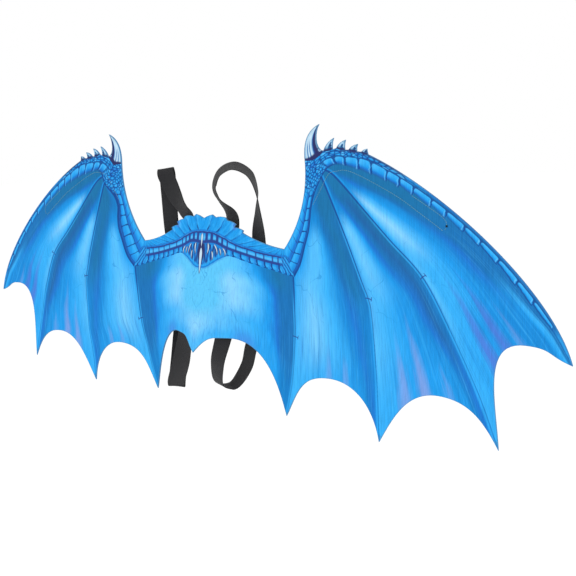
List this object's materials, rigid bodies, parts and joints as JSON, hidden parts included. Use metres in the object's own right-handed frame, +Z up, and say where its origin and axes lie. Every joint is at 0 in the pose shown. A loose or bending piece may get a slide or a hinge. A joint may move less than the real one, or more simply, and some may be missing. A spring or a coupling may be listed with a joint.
{
  "type": "costume wings",
  "caption": "Dress-up dragon wings cut from printed blue felt, with horned arms, scalloped lower edges and a leafy ruff, worn on the back by black elastic shoulder loops.",
  "frame": {"origin": "on the centre line in the plane of the wings' back, at mid body, where the wearer's back rests", "axes": "+X along the span to the right as seen from the printed side, +Y from the printed face to the wearer, +Z up"},
  "size_m": [0.945, 0.0765, 0.3858],
  "materials": {
    "printed_felt": "matt printed felt",
    "black_elastic": "matt ribbed weave"
  },
  "bodies": {
    "root": {"wing_panel": "printed_felt", "strap_left": "black_elastic", "strap_right": "black_elastic"}
  },
  "joints": []
}
